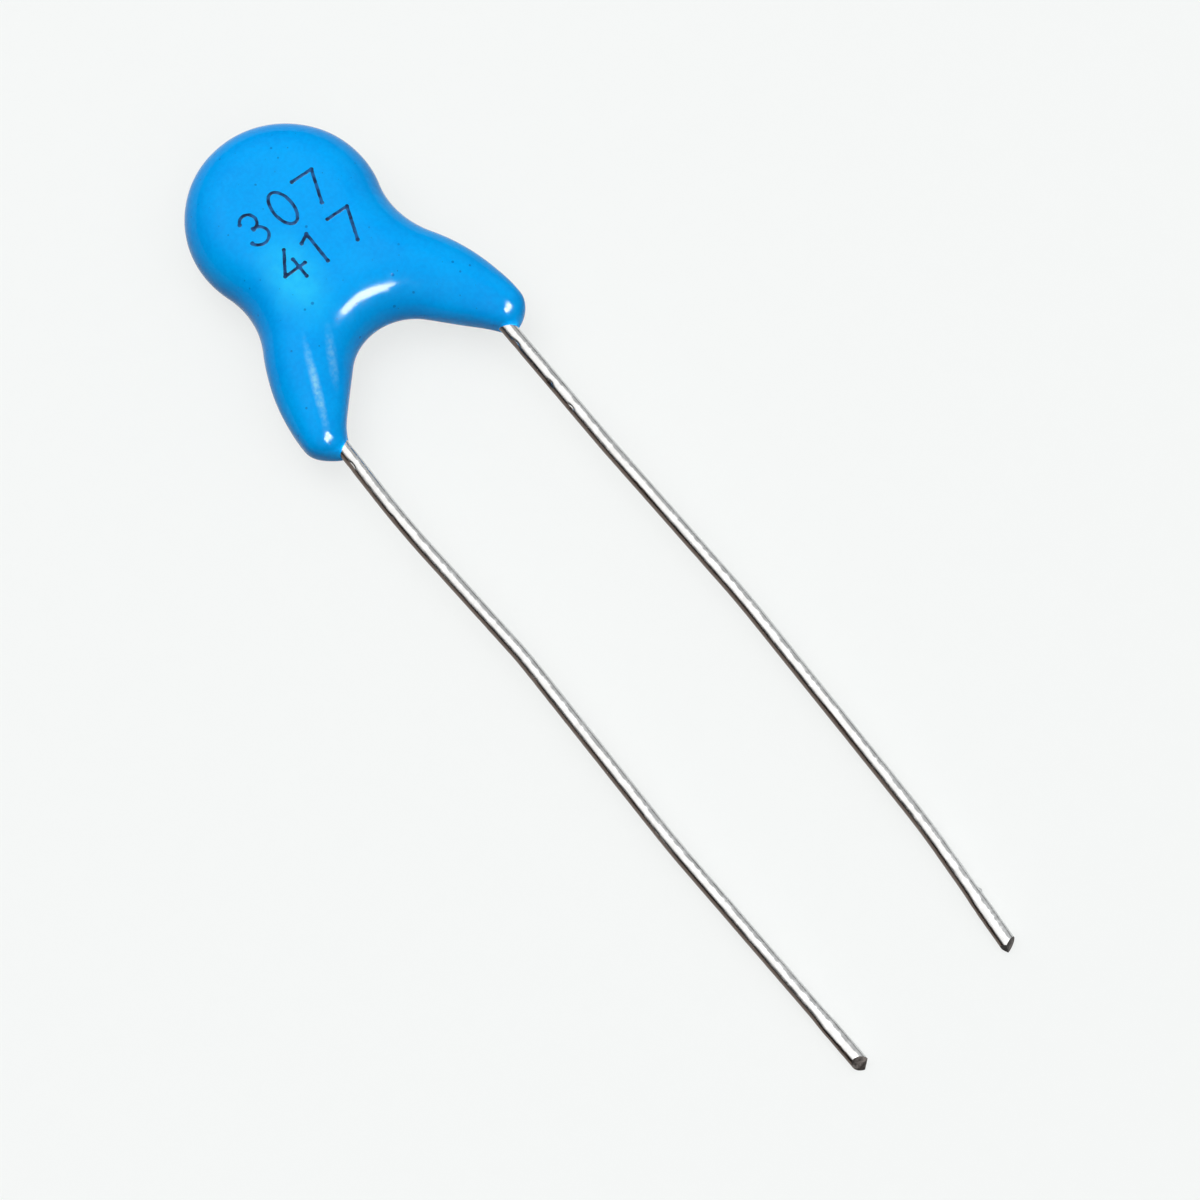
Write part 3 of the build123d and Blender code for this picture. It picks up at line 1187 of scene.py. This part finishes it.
@dataclass
class Studio:
    """Pale bench, soft overhead light, one crisp softbox and the camera."""

    bench_colour: tuple[float, float, float] = (0.913, 0.930, 0.922)
    azimuth: float = -38.0
    elevation: float = 69.0
    distance: float = 0.3
    seen_width: float = 0.04478
    target: tuple[float, float, float] = (0.05, -1.47, 0.99)
    sensor: float = 36.0
    clip_start: float = 0.01
    bench_size: float = 600.0
    bench_drop: float = 0.000005
    bench_fleck: float = 0.996
    bench_glow: float = 0.8
    bench_bounce: tuple[float, float, float] = (0.06, 0.07, 0.08)
    sky_level: float = 1.2
    horizon_level: float = 0.1
    sky_rise: tuple[float, float] = (0.02, 0.75)
    walls: tuple[tuple[float, float], ...] = (
        (0.0, 0.04), (0.09, 0.07), (0.2, 1.0), (0.72, 1.0), (0.8, 0.46), (0.9, 0.8), (1.0, 1.5)
    )

    def bench(self) -> None:
        """The floor, which keeps a faint shadow of the part."""
        bm = bmesh.new()
        bmesh.ops.create_grid(bm, x_segments=1, y_segments=1, size=self.bench_size)
        floor = to_object(bm, "bench")
        floor.location.z = -self.bench_drop
        sheet = NodeSheet("bench")
        fleck = sheet.ramp(sheet.clouds(per_metre=900.0), 0.2, 0.8)
        tone = sheet.blend(
            fleck, self.bench_colour,
            tuple(channel * self.bench_fleck for channel in self.bench_colour),
        )
        sheet.feed(tone, sheet.shader, "Base Color")
        sheet.shader.inputs["Roughness"].default_value = 0.9
        sheet.shader.inputs["Specular IOR Level"].default_value = 0.0
        glow = sheet.add("ShaderNodeEmission")
        sheet.feed(tone, glow, "Color")
        pale = sheet.add("ShaderNodeMixShader")
        pale.inputs[0].default_value = self.bench_glow
        sheet.feed(sheet.shader.outputs["BSDF"], pale, 1)
        sheet.feed(glow.outputs["Emission"], pale, 2)
        dull = sheet.add("ShaderNodeBsdfDiffuse")
        dull.inputs["Color"].default_value = (*self.bench_bounce, 1.0)
        path = sheet.add("ShaderNodeLightPath")
        seen = sheet.math("MAXIMUM", path.outputs["Is Camera Ray"], path.outputs["Is Glossy Ray"])
        seen = sheet.math("MAXIMUM", seen, path.outputs["Is Transmission Ray"])
        choice = sheet.add("ShaderNodeMixShader")
        sheet.feed(seen, choice, 0)
        sheet.feed(dull.outputs["BSDF"], choice, 1)
        sheet.feed(pale.outputs["Shader"], choice, 2)
        sheet.feed(choice.outputs["Shader"], sheet.output, "Surface")
        floor.data.materials.append(sheet.material)

    def sky(self) -> None:
        """The room: bright overhead, dim towards the horizon, pale where it is seen."""
        world = bpy.data.worlds.new("room")
        bpy.context.scene.world = world
        world.use_nodes = True
        tree = world.node_tree
        tree.nodes.clear()
        output_node = tree.nodes.new("ShaderNodeOutputWorld")
        lit = tree.nodes.new("ShaderNodeBackground")
        seen = tree.nodes.new("ShaderNodeBackground")
        seen.inputs["Color"].default_value = (*self.bench_colour, 1.0)
        place = tree.nodes.new("ShaderNodeTexCoord")
        parts = tree.nodes.new("ShaderNodeSeparateXYZ")
        height = tree.nodes.new("ShaderNodeMapRange")
        height.interpolation_type = "SMOOTHSTEP"
        height.inputs["From Min"].default_value = self.sky_rise[0]
        height.inputs["From Max"].default_value = self.sky_rise[1]
        height.inputs["To Min"].default_value = self.horizon_level
        height.inputs["To Max"].default_value = self.sky_level
        across = tree.nodes.new("ShaderNodeMapRange")
        across.inputs["From Min"].default_value = -1.0
        across.inputs["From Max"].default_value = 1.0
        walls = tree.nodes.new("ShaderNodeValToRGB")
        stops = walls.color_ramp.elements
        for place_across, _ in self.walls[2:]:
            stops.new(place_across)
        for stop, (place_across, level) in zip(stops, self.walls):
            stop.position = place_across
            stop.color = (level, level, level, 1.0)
        product = tree.nodes.new("ShaderNodeMath")
        product.operation = "MULTIPLY"
        path = tree.nodes.new("ShaderNodeLightPath")
        mix = tree.nodes.new("ShaderNodeMixShader")
        for source, output, target, socket in (
            (place, "Generated", parts, "Vector"),
            (parts, "Z", height, "Value"),
            (parts, "X", across, "Value"),
            (across, "Result", walls, "Fac"),
            (height, "Result", product, 0),
            (walls, "Color", product, 1),
            (product, "Value", lit, "Strength"),
            (path, "Is Camera Ray", mix, 0),
            (lit, "Background", mix, 1),
            (seen, "Background", mix, 2),
            (mix, "Shader", output_node, "Surface"),
        ):
            tree.links.new(source.outputs[output], target.inputs[socket])

    def lamp(
        self, name: str, direction: Vector, distance: float, size: tuple[float, float],
        power: float, glossy: bool,
    ) -> None:
        """A softbox that faces the part and either shows in its gloss or lights it evenly.

        Args:
            name: the lamp's name.
            direction: from the part towards the lamp.
            distance: how far away it hangs, in metres.
            size: its width and height, in metres.
            power: its power, in watts.
            glossy: whether it shows in the gloss, rather than lights the part.
        """
        light = bpy.data.lights.new(name, "AREA")
        light.shape = "RECTANGLE"
        light.size, light.size_y = size
        light.energy = power
        lamp = bpy.data.objects.new(name, light)
        lamp.visible_diffuse = not glossy
        lamp.visible_glossy = glossy
        aim = direction.normalized()
        lamp.location = aim * distance
        lamp.rotation_euler = aim.to_track_quat("Z", "Y").to_euler()
        bpy.context.scene.collection.objects.link(lamp)

    def camera(self) -> None:
        """The camera, looking steeply down across the part."""
        turn, climb = math.radians(self.azimuth), math.radians(self.elevation)
        back = Vector((
            math.sin(turn) * math.cos(climb), -math.cos(turn) * math.cos(climb), math.sin(climb)
        ))
        data = bpy.data.cameras.new("camera")
        data.sensor_width = self.sensor
        data.lens = self.sensor * self.distance / self.seen_width
        data.clip_start = self.clip_start
        camera = bpy.data.objects.new("camera", data)
        camera.location = Vector(self.target) * MM + back * self.distance
        camera.rotation_euler = back.to_track_quat("Z", "Y").to_euler()
        bpy.context.scene.collection.objects.link(camera)
        bpy.context.scene.camera = camera

    def build(self) -> None:
        """Sets the bench, the light and the camera."""
        self.bench()
        self.sky()
        self.lamp(
            "softbox", Vector((0.17, -0.6, 0.78)), distance=0.45, size=(0.27, 0.11), power=14.0,
            glossy=True,
        )
        self.lamp(
            "overhead", Vector((-0.15, 0.4, 1.0)), distance=0.6, size=(0.45, 0.45), power=1.5,
            glossy=False,
        )
        self.camera()
        bpy.context.scene.view_settings.view_transform = "Standard"


def main() -> None:
    """Builds the capacitor piece by piece, then the studio round it."""
    logging.basicConfig(level=logging.INFO, format="%(message)s")
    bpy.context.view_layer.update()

    coat = EpoxyCoat().build()
    LOG.info("coat: %d faces", len(coat.data.polygons))
    marking = Marking().build(coat)
    LOG.info("marking: %d faces", len(marking.data.polygons))

    metal, cut = TinnedFinish().material(), CUT_END.material()
    left = Lead(
        "left_wire", "left_lead", Side.LEFT, Face.FRONT, tip_reach=39.55,
        strays=[(-0.07, 12.6), (0.28, 19.4), (0.17, 28.6), (0.48, 39.55)],
        free_radii=[40.0, 14.0, 40.0],
        marks=[(9.6, 0.42, 0.16, 0.07), (12.2, 0.4, 0.1, 0.03), (20.4, 0.45, 0.15, 0.02)],
        facets=[(-14.0, 42.0, 0.25), (38.0, 0.0, -0.02)],
    )
    right = Lead(
        "right_wire", "right_lead", Side.RIGHT, Face.BACK, tip_reach=39.3,
        strays=[(-0.08, 14.6), (-0.35, 22.6), (-0.2, 33.6), (0.24, 39.3)],
        free_radii=[40.0, 40.0, 40.0],
        marks=[
            (9.5, 0.42, 0.16, 0.06), (11.5, 0.38, 0.1, 0.07), (12.75, 0.4, 0.11, 0.08),
            (15.6, 0.2, 0.1, 0.03), (36.85, 0.04, 0.06, -0.09),
        ],
        facets=[(24.0, 22.0, 0.18), (-44.0, 24.0, -0.03)],
    )
    for lead in (left, right):
        wire = lead.build(metal, cut)
        LOG.info("%s: %d faces", wire.name, len(wire.data.polygons))

    LOG.info("inner pieces: %s", ", ".join(Element().dress()))
    Studio().build()


if __name__ == "__main__":
    main()
